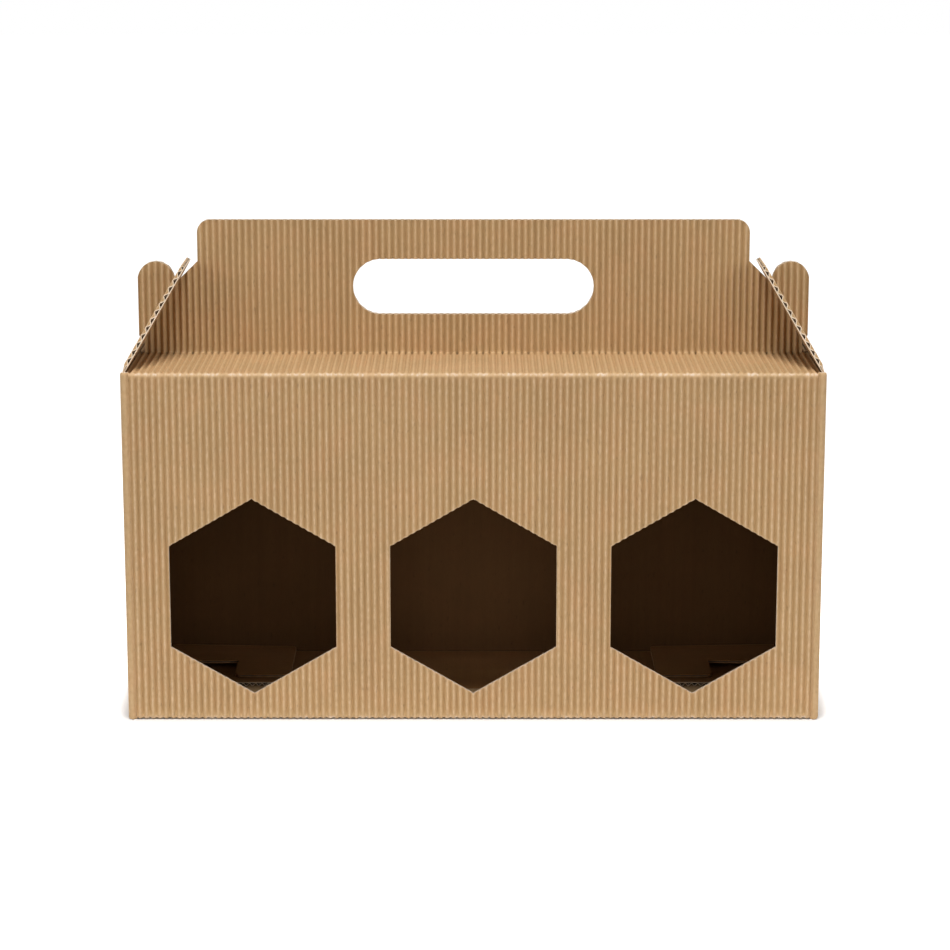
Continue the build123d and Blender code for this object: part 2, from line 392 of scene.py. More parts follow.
# Crest paleness: partly rubbing, partly a painted highlight that raises the contrast of the flutes.
crest_rub_and_highlight = 0.5
crease_pale = 0.7
crease_patch = 0.09
pale_fade = 0.6
patch_spread = 0.2
patch_rates = (14, 5)


def no_press(along, fade):
    """No crease: nothing is pressed."""
    return np.zeros_like(along)


def even_rub_and_highlight(along):
    """How pale the crests are, from rubbing and a painted highlight: the same everywhere."""
    return crest_rub_and_highlight


def nowhere(across, along):
    """No pinch and no wear: 0 everywhere."""
    return np.zeros_like(along)


def board_sheets(
    layout, place, low, high, stops, press=no_press, lining=LINER, hollow=SHADED_HOLLOW, cut=CUT,
    sink=fold_sink, rub_and_highlight=even_rub_and_highlight, pinch=nowhere, wear_and_shade=nowhere,
):
    """Fluted paper and liner of a panel. layout gives its rows and kept cells for any set of columns. The
    paper is pale on its crests, by rubbing and a painted highlight, in patches on its creases, where it is
    frayed, and where it is painted light. Values below 0 are painted shade that darkens it.
    """
    across = columns(low, high, stops, flute_pitch / flute_samples)
    along, kept = layout(across)
    squeeze = pinch(across, along)
    outer, inner, crest = flute_heights(across, along, press(along, press_fade), sink, squeeze)
    patch = uneven(across, patch_rates)
    creased = press(along, pale_fade * (1 + patch_spread * patch)) * (crease_pale + crease_patch * patch)
    worn_and_shaded = wear_and_shade(across, along)
    pale = np.maximum(np.maximum(rub_and_highlight(along) * crest, creased), worn_and_shaded) + worn_and_shaded.clip(max=0)
    flutes = closed_sheet(place, across, along, kept, outer, inner, pale)
    flutes["finish"] = (FLUTES, hollow, cut)
    across = columns(low, high, stops, liner_step)
    along, kept = layout(across)
    flat = np.zeros_like(along)
    liner = closed_sheet(place, across, along, kept, flat + liner_paper, flat, flat)
    liner["finish"] = (hollow, lining, cut)
    return [flutes, liner]


def on_profile(path, outward, axis, sign, middle=board / 2):
    """Placing along a path: point + normal * (height - middle). Across runs on one axis, the path's first
    coordinate on the other one.
    """
    def place(across, along, height):
        point, normal = along_path(path, along)
        point = point + normal * outward * (height - middle)[..., None]
        flat = [across, sign * point[..., 0]] if axis == "x" else [sign * point[..., 0], across]
        return np.stack([*flat, point[..., 1]], axis=-1)
    return place


# %% [markdown]
# ## Kraft finishes
# Kraft board is unbleached brown paper: matt, with long fibres, darker flecks and a slow mottle from the
# mill. All of it is procedural. The board_place attribute carries the place across and along the flutes,
# so fibres run with the flutes on every panel. Its third number says how pale the paper is: pale from
# rubbing on creases, frayed beside the windows, pale from rubbing and a painted highlight on the crests of
# the flutes, and painted light on the level part of the lids. Below 0 it says how much painted shade
# darkens valleys and pits. The liner also shows faint bars where the flutes are glued on. Three finishes
# are painted shade: darker copies of the kraft for the hollows of the flutes, the inside of the box and
# the inside of its bottom.

# %% Nodes of a finish
def add_node(tree, kind, inputs, **settings):
    """A node with its settings and inputs: a socket of another node is linked, a value is set."""
    node = tree.nodes.new("ShaderNode" + kind)
    for setting, value in settings.items():
        setattr(node, setting, value)
    for name, value in inputs.items():
        if isinstance(value, bpy.types.NodeSocket):
            tree.links.new(value, node.inputs[name])
        else:
            node.inputs[name].default_value = value
    return node


def maths(tree, operation, *terms):
    """One step of arithmetic on sockets and numbers."""
    return add_node(tree, "Math", dict(enumerate(terms)), operation=operation).outputs["Value"]


def noise(tree, place, scale, detail, stretch=(1, 1, 1)):
    """Soft random values round a half, over a place that is stretched first."""
    mapped = add_node(tree, "Mapping", {"Vector": place, "Scale": stretch}).outputs["Vector"]
    texture = add_node(tree, "TexNoise", {"Vector": mapped, "Scale": scale, "Detail": detail})
    return texture.outputs["Fac"]


def ramp(tree, value, low, high, least=0.0, most=1.0):
    """Smooth step from least, where the value is low, to most, where it is high."""
    ends = {"From Min": low, "From Max": high, "To Min": least, "To Max": most}
    step = add_node(tree, "MapRange", {"Value": value, **ends}, interpolation_type="SMOOTHSTEP")
    return step.outputs["Result"]


MIX_SHARE, MIX_FIRST, MIX_SECOND, MIX_COLOUR = 0, 6, 7, 2


def mix(tree, share, first, second, amount):
    """Colour on the way from first to second, by share * amount, held between 0 and 1."""
    first, second = [(*end, 1) if isinstance(end, tuple) else end for end in (first, second)]
    ends = {MIX_SHARE: maths(tree, "MULTIPLY", share, amount), MIX_FIRST: first, MIX_SECOND: second}
    return add_node(tree, "Mix", ends, data_type="RGBA").outputs[MIX_COLOUR]


# %% Kraft material
kraft_roughness = 0.85
kraft_shine = 0.25
grain_scale = 2400
grain_strength = 0.25
grain_height = 0.05
# Pale kraft for rubbed crests, creases and frays, also used for painted highlights and painted light.
rubbed_and_lit_kraft = (0.75, 0.54, 0.35)
scuffed_kraft = (0.68, 0.56, 0.44)
red_tint = (1.06, 0.97, 0.98)
fleck_tint = (0.7, 0.7, 0.7)
# Colour of the painted shade in valleys and pits.
pit_shade_tint = (0.3, 0.3, 0.3)


def tinted(colour, tint):
    """A colour times a tint, part by part."""
    return tuple(part * share for part, share in zip(colour, tint))


def kraft_colour(tree, flutes, here, wear_and_shade, light, dark):
    """Light brown, mixed in turn with a slow dark mottle, a reddish blush, fibres, streaks and flecks. Where
    the paleness is above 0 it turns pale, unevenly, by rubbing and by painted light, and scuffed nearly
    white, and below 0 it is darkened with painted shade.
    """
    mottle = ramp(tree, noise(tree, here, 38, 3), 0.3, 0.7)
    blush = ramp(tree, noise(tree, here, 85, 2), 0.4, 0.7)
    fibre = ramp(tree, noise(tree, flutes, 1.6, 4, (1, 0.16, 0)), 0.25, 0.75)
    streak = ramp(tree, noise(tree, flutes, 0.35, 2, (1, 0.04, 0)), 0.35, 0.7)
    fleck = ramp(tree, noise(tree, flutes, 0.8, 2, (1, 0.35, 0)), 0.64, 0.74)
    broken = ramp(tree, noise(tree, flutes, 0.9, 3, (1, 0.5, 0)), 0.3, 0.7, 0.5, 1.2)
    rubbed_and_lit = maths(tree, "MULTIPLY", wear_and_shade, broken)
    scuffed = ramp(tree, rubbed_and_lit, 0.45, 1.0)
    colour = light
    for share, other, amount in (
        (mottle, dark, 0.3),
        (blush, tinted(light, red_tint), 0.5),
        (fibre, dark, 0.3),
        (streak, dark, 0.25),
        (fleck, tinted(dark, fleck_tint), 0.45),
        (rubbed_and_lit, rubbed_and_lit_kraft, 0.85),
        (scuffed, scuffed_kraft, 0.85),
        # Below 0 the paleness is painted shade in valleys and pits.
        (wear_and_shade, tinted(dark, pit_shade_tint), -1.0),
    ):
        colour = mix(tree, share, colour, other, amount)
    return colour


def kraft_finish(name, light, dark, bars):
    """Matt kraft with a fine grain as a bump. The glued flutes add bars * cos(2 pi u / pitch) to it."""
    finish = bpy.data.materials.new(name)
    finish.use_nodes = True
    tree = finish.node_tree
    flutes = add_node(tree, "Attribute", {}, attribute_name="board_place").outputs["Vector"]
    here = add_node(tree, "TexCoord", {}).outputs["Object"]
    facts = add_node(tree, "SeparateXYZ", {"Vector": flutes}).outputs
    colour = kraft_colour(tree, flutes, here, facts["Z"], light, dark)
    grain = noise(tree, here, grain_scale, 2)
    if bars:
        wave = maths(tree, "COSINE", maths(tree, "MULTIPLY", facts["X"], 2 * math.pi / flute_pitch))
        grain = maths(tree, "MULTIPLY_ADD", wave, bars, grain)
    bump = {"Height": grain, "Strength": grain_strength, "Distance": grain_height * MM}
    normal = add_node(tree, "Bump", bump).outputs["Normal"]
    paint = tree.nodes["Principled BSDF"]
    paint.inputs["Roughness"].default_value = kraft_roughness
    paint.inputs["Specular IOR Level"].default_value = kraft_shine
    tree.links.new(colour, paint.inputs["Base Color"])
    tree.links.new(normal, paint.inputs["Normal"])
    return finish


# %% The finishes
finishes = [
    kraft_finish("fluted kraft", (0.505, 0.323, 0.152), (0.345, 0.213, 0.092), 0),
    kraft_finish("cut edge of kraft", (0.66, 0.53, 0.39), (0.48, 0.38, 0.27), 0),
    kraft_finish("kraft liner", (0.5, 0.325, 0.165), (0.4, 0.25, 0.12), 0.6),
    # Painted shade: the hollows inside the flutes are the same kraft, darkened to stand in for their shade.
    kraft_finish("hollow of the flutes, painted shade", (0.16, 0.1, 0.055), (0.1, 0.06, 0.035), 0),
    # Painted shade: the liner inside the box is the same paper as on the flaps, darkened to stand in for
    # shade.
    kraft_finish("inside of the box, painted shade", (0.125, 0.054, 0.015), (0.085, 0.036, 0.009), 0.6),
    # Painted shade: a darker copy of the liner for the bottom flaps inside the box.
    kraft_finish("inside of the bottom, painted shade", (0.33, 0.155, 0.05), (0.24, 0.11, 0.033), 0.6),
]
print("finishes:", [finish.name for finish in finishes])

# %% [markdown]
# ## Front and back panels
# The front and back panels are bent along one path: a bottom fold, the upright wall, then the top fold.
# The wall's rows bow round the three windows: their lower and upper edges are rows of the grid, and the
# cells between those rows are left out. The die leaves the paper frayed and pale beside each window. The
# back panel has the same path and no windows.

# %% The path of front and back
main_path = bent_path(
    [
        (-half_depth + fold_reach, board / 2),
        (-wall_middle, board / 2),
        (-wall_middle, shelf_middle),
        (-handle_middle, shelf_middle),
        (-handle_middle, handle_top),
    ],
    fold_round,
)
BOTTOM_FOLD, WALL, TOP_FOLD, SHELF, HANDLE_FOLD, HANDLE = range(1, 7)
print("way from the foot to the top of the handle in mm:", round(main_path["starts"][-1], 1))

# %% Places along the path
wall_seam = box_height - 3 * fold_reach
outer_fold_rows = (2.2, 6)
beside_fold = np.array([1, 0.45])


def last_valley(corner):
    """The last valley between flutes before a rounded corner, half a pitch off a whole number of them."""
    return (math.floor((corner - corner_round) / flute_pitch) - 0.5) * flute_pitch


def up_path(leg, height):
    """Distance along the main path of a height on one of its upright legs."""
    return main_path["starts"][leg] + height - main_path["places"][leg][1]


def fold_rows(path, arc, reach, count):
    """Distances across a fold: two on each side of its arc, up to reach away, and count on the arc."""
    start, end = path["starts"][arc:arc + 2]
    near = beside_fold * reach
    return [*(start - near), *np.linspace(start, end, count), *(end + near[::-1])]


def fold_press(path, arcs):
    """How far the creases press the paper: 1 in the middle of a fold, fading as exp(-(d / fade)^2)."""
    centres = [(path["starts"][arc] + path["starts"][arc + 1]) / 2 for arc in arcs]
    return lambda along, fade: sum(np.exp(-((along - centre) / fade) ** 2) for centre in centres)


seam_half = last_valley(half_width)
print("half width of front and back between their corners in mm:", seam_half)

# %% Rows of a wall
fray_reach = 0.8
fray_fade = 0.4
fray_pale = 0.6
rows_below, rows_beside, rows_above = 3, 3, 4


def wall_layout(windows):
    """Rows of a front or back wall, bowed round its windows where it has them."""
    def layout(x):
        bottom = [0, *fold_rows(main_path, BOTTOM_FOLD, *outer_fold_rows)[2:]]
        rows = [np.full_like(x, s) for s in bottom]
        top = np.full_like(x, up_path(WALL, wall_seam))
        low, high = window_rows(x)
        rows += [*rows_between(rows[-1], low - fray_reach, rows_below), low]
        first = len(rows) - 1
        rows += [*rows_between(low, high, rows_beside), high + fray_reach]
        rows += rows_between(high + fray_reach, top, rows_above)
        kept = every_cell(rows, x)
        if windows:
            kept[first:first + rows_beside] &= past_middle(middles(x)) >= window_width / 2
        return np.array(rows), kept
    return layout


def past_middle(x):
    """Distance across from the middle of the nearest window."""
    return np.abs(x - np.round(x / window_pitch).clip(-1, 1) * window_pitch)


def window_rows(x):
    """Lower and upper edge of the pointed windows along the main path, straight on between them."""
    share = (past_middle(x) / (window_width / 2)).clip(max=1)
    half = window_side / 2 + (window_height - window_side) / 2 * (1 - share)
    return up_path(WALL, window_middle - half), up_path(WALL, window_middle + half)


def window_fray(x, along):
    """How pale the paper is beside the windows: exp(-(distance from the cut / fade)^2)."""
    low, high = window_rows(x)
    beside = (past_middle(x) - window_width / 2).clip(0)
    above = np.maximum(low - along, along - high).clip(0)
    return fray_pale * np.exp(-(np.hypot(beside, above) / fray_fade) ** 2)


# %% Make both walls
window_stops = np.add.outer(
    window_pitch * np.arange(-1, 2), window_width / 2 * np.arange(-1, 2)
).ravel()
convex_press = fold_press(main_path, (BOTTOM_FOLD, TOP_FOLD))
for name, sign, has_windows in (("front_wall", 1, True), ("back_wall", -1, False)):
    wall = board_sheets(
        wall_layout(has_windows), on_profile(main_path, 1, "x", sign), -seam_half, seam_half,
        window_stops, convex_press, SHADED_INSIDE, CUT, wear_and_shade=window_fray if has_windows else nowhere,
    )
    wall_piece = make_piece(name, wall, "box", finishes)
    if has_windows:
        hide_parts("carton")

# %% [markdown]
# ## Lids and handle
# Each lid goes on from the wall: over the top fold, level across half the box, then up into one half of
# the handle. The handle's rows follow its hand hole, its sloped shoulders and the round tabs that lock
# into the flaps. The inner fold squeezes the flutes against each other: their crests widen and leave
# narrow pits between them, darkened with painted shade. The handle's valleys get painted shade too, and
# the level part is painted paler as if lit from above.

# %% Rows of a lid
neck_x = lid_half - tab_neck * (1 - fold_reach / 2 / tab_neck_height)
inner_fold_rows = (2.0, 6)
TOP_FOLD_ROWS = 8
NECK_ROWS = 6
HOLE_ROW = -5
TAB_ROWS = slice(-2, None)


def lid_layout(x):
    """Rows of a lid: top fold, shelf, inner fold, then the handle round its hole up to its outline."""
    side = np.abs(x)
    folded = [up_path(WALL, wall_seam), *fold_rows(main_path, TOP_FOLD, *outer_fold_rows)]
    folded += fold_rows(main_path, HANDLE_FOLD, *inner_fold_rows)
    rows = [np.full_like(x, s) for s in folded]
    neck = box_height + tab_neck_height * (side - lid_half + tab_neck) / tab_neck
    low = up_path(HANDLE, np.maximum(neck, box_height + fold_reach * 2))
    hole_low, hole_high = hole_edges(side)
    shoulder = up_path(HANDLE, shoulder_line(side))
    top = up_path(HANDLE, top_line(side))
    rows.append(low)
    rows += rows_between(low, up_path(HANDLE, hole_low), 2)
    rows.append(up_path(HANDLE, hole_high))
    rows += rows_between(rows[-1], shoulder, 2)
    rows += rows_between(shoulder, top, 2)
    kept = every_cell(rows, x)
    middle = np.abs(middles(x))
    kept[TAB_ROWS, (middle > handle_half) & (middle < tab_inside)] = False
    kept[HOLE_ROW] = False
    kept[:TOP_FOLD_ROWS, middle > seam_half] = False
    kept[len(folded) - NECK_ROWS:len(folded), middle > neck_x] = False
    return np.array(rows), kept


# %% Lines across the handle
row_fall = 0.15
slope_start = hole_width * 0.65
slope_top = hole_middle + hole_height * 0.8


def hole_edges(side):
    """Lower and upper edge of the hand hole, a slot with round ends. Past its ends they run on as one."""
    bow = hole_height / 2
    past = (side - (hole_width / 2 - bow)).clip(0, bow)
    half = np.sqrt(bow ** 2 - past ** 2)
    away = row_fall * (side - hole_width / 2).clip(0)
    return hole_middle - half - away, hole_middle + half - away


def shoulder_line(side):
    """Row through the shoulders: from above the hole, down the slope, level under the tab."""
    return np.interp(side, [slope_start, handle_half, tab_inside], [slope_top, shoulder_z, notch_z])


def top_line(side):
    """Top edge: the handle with round corners in the middle, the round tabs outside."""
    past = (side - handle_half + handle_corner).clip(0, handle_corner)
    handle_edge = handle_top - handle_corner + np.sqrt(handle_corner ** 2 - past ** 2)
    off = (side - tab_x).clip(-tab_round, tab_round)
    tab_edge = tab_z + np.sqrt(tab_round ** 2 - off ** 2)
    return np.where(side <= (handle_half + tab_inside) / 2, handle_edge, tab_edge)


print("top of the handle and of its tabs in mm:", top_line(np.array([0, tab_x])))

# %% Painted light and shade of a lid
# Less crest paleness on the level part, which shows its flutes less: less painted highlight there.
shelf_rub_and_highlight = 0.2
# Painted light: the level part of a lid is made evenly paler, as if lit from above.
shelf_painted_light = 0.14
# Less crest paleness on the handle: painted shade that makes it darker than the wall.
handle_rub_and_shade = 0.4
handle_shade = 0.13
pinch_fade = 1.3
pinch_share = 0.5
pinch_spread = 0.3
pinch_rates = (5, 0)
# Painted shade that darkens the pits of the inner fold.
pit_fade = 0.7
pit_shade = 0.3
pit_spread = 0.3
pit_rates = (17, 6)


def by_part(along, wall, shelf, handle):
    """One of three values: before the top fold, on the level part, and from the inner fold up."""
    top_fold, inner_fold = main_path["starts"][[TOP_FOLD, HANDLE_FOLD]]
    return np.where(along < top_fold, wall, np.where(along < inner_fold, shelf, handle))


def lid_rub_and_painted_light(along):
    """How pale the crests are, from rubbing and a painted highlight: less on the handle, a painted shade
    that darkens it, and least on the level part, which shows its flutes less.
    """
    return by_part(along, crest_rub_and_highlight, shelf_rub_and_highlight, handle_rub_and_shade)


def fold_pinch(across, along):
    """How far the inner fold squeezes the flutes: unevenly, by about half, fading as exp(-(d / fade)^2)."""
    fold = fold_press(main_path, (HANDLE_FOLD,))(along, pinch_fade)
    return fold * (pinch_share + pinch_spread * uneven(across, pinch_rates))


def lid_painted_light_and_shade(across, along):
    """Painted light and shade of a lid: evenly paler where it is level, a painted light from above, and
    below 0 in the handle's valleys and most in the pits of the inner fold, a painted shade. A valley is
    (1 - cos(2 pi u / pitch)) / 2.
    """
    valley = (1 - np.cos(2 * np.pi * across / flute_pitch)) / 2
    fold = fold_press(main_path, (HANDLE_FOLD,))(along, pit_fade)
    pits = fold * valley * (pit_shade + pit_spread * uneven(across, pit_rates)).clip(0)
    return by_part(along, 0, shelf_painted_light, -handle_shade * valley) - pits


# %% Make both lids
quarter_stops = 10
quarter = np.sin(np.linspace(0, np.pi / 2, quarter_stops))
lid_stops = both_sides(
    hole_width / 2 - hole_height / 2 * (1 - quarter),
    handle_half - handle_corner * (1 - quarter),
    tab_x + tab_round * quarter, tab_x - tab_round * quarter, tab_x,
    neck_x, lid_half - tab_neck, slope_start, seam_half,
)
for name, sign in (("front_lid", 1), ("back_lid", -1)):
    lid = board_sheets(
        lid_layout, on_profile(main_path, 1, "x", sign), -lid_half, lid_half, lid_stops,
        convex_press, SHADED_INSIDE, CUT, rub_and_highlight=lid_rub_and_painted_light, pinch=fold_pinch, wear_and_shade=lid_painted_light_and_shade,
    )
    make_piece(name, lid, "box", finishes)

# %% [markdown]
# ## End panels and upright corners
# An end panel folds inward at its foot, where its hooked bottom flap climbs onto the other flaps, and stops
# under its lock flap. The upright creases press the flutes into a smooth round band, so each corner is one
# thick strip carried round an arc and set between the panels.

# %% The path of the ends
crease_low = hinge_z - flap_crease
end_half = last_valley(half_depth)
side_root = (-38.0, 42.0)
hook_shoulder = 110.0
hook_back = 18.0
hook_rear = 39.0
hook_tip = 72.7
hook_level = side_floor + board / 2
foot_reach = 6.0
foot_round = 0.9
end_path = bent_path(
    [
        (half_width - foot_reach - fold_reach, hook_level),
        (half_width - foot_reach, hook_level),
        (end_middle, rim_inset),
        (end_middle, crease_low),
    ],
    foot_round,
)
ROOT_BEND, FOOT_FOLD = 1, 3
print("way up an end in mm:", round(end_path["starts"][-1], 1), "half depth of an end:", end_half)

# %% Make both ends
root_bend_rows = (0.5, 3)
foot_fold_rows = (1.2, 8)
end_rows = 9
foot_samples = 200


def hook_edges(y):
    """Front and rear cut of a hooked flap, as distances from the middle of the box: slanted lines."""
    slope = (half_width - hook_shoulder) / (hook_back - side_root[0])
    front = np.where(y < hook_back, half_width - (y - side_root[0]) * slope, hook_shoulder)
    return front, np.interp(y, [hook_rear, side_root[1]], [hook_tip, half_width])


def end_layout(y):
    """Rows of an end panel: the root of its bottom flap, cut off by its slanted edges, then the wall."""
    folded = [0, *fold_rows(end_path, ROOT_BEND, *root_bend_rows)]
    folded += fold_rows(end_path, FOOT_FOLD, *foot_fold_rows)
    foot = end_path["starts"][FOOT_FOLD + 1]
    top = end_path["starts"][-1]
    rows = np.array([*folded, *np.linspace(folded[-1], top, end_rows)[1:]])[:, None]
    reach = np.linspace(0, foot, foot_samples)
    cut = np.interp(np.maximum(*hook_edges(y)), along_path(end_path, reach)[0][:, 0], reach)
    rows = np.maximum(rows, cut)
    return rows, every_cell(rows, y)


for name, sign in (("left_end", -1), ("right_end", 1)):
    end = board_sheets(
        end_layout, on_profile(end_path, -1, "y", sign), -end_half, end_half,
        np.array(side_root), fold_press(end_path, (FOOT_FOLD,)), SHADED_INSIDE,
    )
    make_piece(name, end, "box", finishes)

# %% Upright corners
corner_path = bent_path(
    [(seam_half, -wall_middle), (end_middle, -wall_middle), (end_middle, -end_half)],
    corner_round - board / 2,
)
corner_pale = 0.25
corner_step = 0.15
corner_rows = 7
ease_rows = np.array([0, 0.2, 0.5, 1.0])
ease_drop = 0.35


def corner_sheet(sign_x, sign_y):
    """A corner strip: round the arc in plan, and upright. On both sides it rises from a valley between
    flutes, board - depth * (1 + cos(2 pi d / pitch)) / 2, and its ends are eased in. Beside a lock flap it
    is cut down to the crease.
    """
    length = corner_path["starts"][-1]
    flap_side = length - (flap_root_half + hinge_gap - end_half)
    around = columns(0, length, np.array([flap_side]), corner_step)
    low, high = rim_inset, box_height - rim_inset
    upright = np.linspace(low, crease_low, corner_rows)[1:]
    heights = np.concatenate([low + ease_rows, upright, high - ease_rows[::-1]])
    from_end = np.minimum((heights - low).clip(max=1), (high - heights).clip(max=1))
    drop = ease_drop * (1 - from_end) ** 2
    beside = np.minimum(around, length - around).clip(max=flute_pitch / 2)
    valley = flute_depth * (1 + np.cos(2 * np.pi * beside / flute_pitch)) / 2
    outer = board - drop[:, None] - valley
    along = np.broadcast_to(heights[:, None], outer.shape)

    def place(across, along, height):
        point, normal = along_path(corner_path, across)
        point = point - normal * (height - board / 2)[..., None]
        return np.stack([sign_x * point[..., 0], sign_y * point[..., 1], along], axis=-1)

    kept = every_cell(heights, around)
    kept[-len(ease_rows):, middles(around) > flap_side] = False
    pale = np.full_like(outer, corner_pale)
    strip = closed_sheet(place, around, along, kept, outer, 0 * outer, pale)
    strip["finish"] = (FLUTES, SHADED_INSIDE, CUT)
    return strip


posts = [corner_sheet(sign_x, sign_y) for sign_x in (-1, 1) for sign_y in (-1, 1)]
make_piece("upright_corners", posts, "box", finishes)

# %% [markdown]
# ## Lock flaps
# A lock flap leans inward on its hinge. Its sides are cut across the flutes, so the hollow wave shows
# along them, and a slit takes the tabs of both handle halves. Each flap rides on its own body. The crease
# between flap and end is a strip of crushed board, bent round the hinge and fixed in place.

# %% Make both lock flaps
slit_rows = 6
tip_stops = 15


def flap_layout(y):
    """Rows of a lock flap, cut off by its slanted sides, with the slit left out."""
    side = np.abs(y)
    outline = [(0, flap_length), (flap_tip / 2, flap_length), (flap_root_half, flap_crease)]
    top = outline_heights(outline, flap_tip_round, side)
    levels = [flap_crease, slit_start, *np.linspace(slit_start, slit_end, slit_rows)[1:], flap_length]
    rows = np.minimum(np.array(levels)[:, None], top)
    kept = every_cell(rows, y)
    kept[1:-1, np.abs(middles(y)) < slit_half] = False
    return rows, kept


def on_flap(sign):
    """Placing on a lock flap: hinge + along * lean + (height - half a crease) * normal."""
    def place(across, along, height):
        lift = height - crease_board / 2
        x = hinge_x - along * math.cos(flap_lean) + lift * math.sin(flap_lean)
        z = hinge_z + along * math.sin(flap_lean) + lift * math.cos(flap_lean)
        return np.stack([sign * x, across, z], axis=-1)
    return place


# The hollows along the cut sides of the flaps take the dark hollow finish, a painted shade.
flap_stops = both_sides(slit_half, flap_tip / 2 + flap_tip_round * np.linspace(-1, 1, tip_stops))
for sign, body in ((-1, "left_flap"), (1, "right_flap")):
    flap = board_sheets(flap_layout, on_flap(sign), -flap_root_half, flap_root_half, flap_stops)
    flap_piece = make_piece(body.replace("flap", "lock_flap_board"), flap, body, finishes)
    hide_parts(body.replace("flap", "lock_flap"))

# %% Hinge creases
crease_sink = 0.7
crease_fade = 1.9
crease_rows = 13
crease_path = bent_path(
    [
        (hinge_x, crease_low),
        (hinge_x, hinge_z),
        (hinge_x - flap_crease * math.cos(flap_lean), hinge_z + flap_crease * math.sin(flap_lean)),
    ],
    fold_round,
)


def crease_layout(y):
    """Rows of a hinge crease, from the top of the end panel to the root of the lock flap."""
    rows = np.linspace(0, crease_path["starts"][-1], crease_rows)[:, None] + 0 * y
    return rows, every_cell(rows, y)


def crease_press(along, fade):
    """How far the hinge presses the board and wears it pale, over one width: exp(-(d / crease_fade)^2), d
    being the distance from the hinge line. The fade of other creases isn't used.
    """
    return np.exp(-((along - crease_path["starts"][-1] / 2) / crease_fade) ** 2)


for sign, body in ((-1, "left_flap"), (1, "right_flap")):
    sheets = board_sheets(
        crease_layout, on_profile(crease_path, -1, "y", sign, crease_board / 2),
        -flap_root_half, flap_root_half, [], crease_press, sink=crease_sink,
    )
    crease = make_piece(body.replace("flap", "hinge_crease"), sheets, "", finishes)
    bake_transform(crease)

# %% [markdown]
# ## Bottom flaps
# The bottom locks without glue. The front flap lies lowest, with a tongue that climbs to the top layer.
# The rear flap steps up onto it with two legs, and a hooked flap from each end lies on those.

# %% Sizes of the bottom flaps
tongue_half = 57.0
tongue_root = -10.0
tongue_rise = 4.0
tongue_end = 22.0
tongue_round = 6.0
tongue_slot = 1.0
bend_round = 6.0
leg_round = 2.5
rear_flap_flat = 14.0
rear_flap_rise = 2.0
rear_flap_end = -7.0
recess_half = 61.0
recess_end = 8.0
hook_neck = 94.8
hook_front = -2.0
hook_round = 2.5
fold_line = half_depth - fold_reach
print("width of the tongue and gap between the legs in mm:", 2 * tongue_half, 2 * recess_half)

# %% Front bottom flap and its tongue
front_flap_rows = (0, 8, 16, 24)
tongue_rows = 19
tongue_stops = np.linspace(-1, 0.8, 15)
front_flap_path = bent_path([(-fold_line, board / 2), (front_flap_end, board / 2)], fold_round)
tongue_path = bent_path(
    [
        (tongue_root, board / 2),
        (tongue_root + 1, board / 2),
        (tongue_rise, side_floor + board / 2),
        (tongue_end, side_floor + board / 2),
    ],
    bend_round,
)


def front_flap_layout(x):
    """Rows of the front flap, cut off by its tapered sides, with the slot of the tongue left out."""
    side = -half_depth + (flap_half - np.abs(x)) / bottom_taper * (front_flap_end + half_depth)
    reach = np.minimum(side, front_flap_end) + fold_line
    levels = [*front_flap_rows, tongue_root + fold_line, front_flap_end + fold_line]
    rows = np.minimum(np.array(levels)[:, None], reach)
    kept = every_cell(rows, x)
    kept[-1, np.abs(middles(x)) < tongue_half + tongue_slot] = False
    return rows, kept


def tongue_layout(x):
    """Rows of the tongue, cut off by its tapered sides and round corners."""
    outline = [
        (0, tongue_end), (tongue_half - bottom_taper, tongue_end),
        (tongue_half, front_flap_end), (tongue_half + bottom_taper, tongue_root),
    ]
    reach = outline_heights(outline, tongue_round, np.abs(x)) - tongue_end
    end = tongue_path["starts"][-1]
    rows = np.minimum(np.linspace(0, end, tongue_rows)[:, None], end + reach)
    return rows, every_cell(rows, x)


front_flap = board_sheets(
    front_flap_layout, on_profile(front_flap_path, -1, "x", 1), -fold_half, fold_half,
    both_sides(tongue_half + tongue_slot, flap_half - bottom_taper),
)
tongue = board_sheets(
    tongue_layout, on_profile(tongue_path, -1, "x", 1), -tongue_half, tongue_half,
    both_sides(tongue_half - bottom_taper + tongue_round * tongue_stops), lining=SHADED_BOTTOM,
)
make_piece("front_bottom_flap", front_flap + tongue, "box", finishes)

# %% Rear bottom flap
FIRST_BEND, SECOND_BEND = 1, 3
rear_flap_rows = (0, 10, 20)
rear_bend_rows = (1, 3)
leg_row = 4.0
recess_stops = np.linspace(-1.5, 2.5, 25)
leg_stops = np.linspace(-1, 0.5, 10)
rear_flap_path = bent_path(
    [
        (-fold_line, board / 2),
        (-rear_flap_flat, board / 2),
        (-rear_flap_rise, level + board / 2),
        (-rear_flap_end, level + board / 2),
    ],
    fold_round,
)


def rear_flap_layout(x):
    """Rows of the rear flap, cut off by its recess, its two legs and its tapered sides."""
    outline = [
        (0, -recess_end), (recess_half, -recess_end), (recess_half + bottom_taper, -rear_flap_end),
        (flap_half - bottom_taper, -rear_flap_end), (flap_half, -half_depth),
    ]
    reach = outline_heights(outline, leg_round, np.abs(x)) + rear_flap_end
    end = rear_flap_path["starts"][-1]
    bends = [fold_rows(rear_flap_path, bend, *rear_bend_rows) for bend in (FIRST_BEND, SECOND_BEND)]
    levels = np.array([*rear_flap_rows, *sum(bends, []), end - leg_row, end])
    rows = np.minimum(levels[:, None], end + reach).clip(0)
    return rows, every_cell(rows, x)


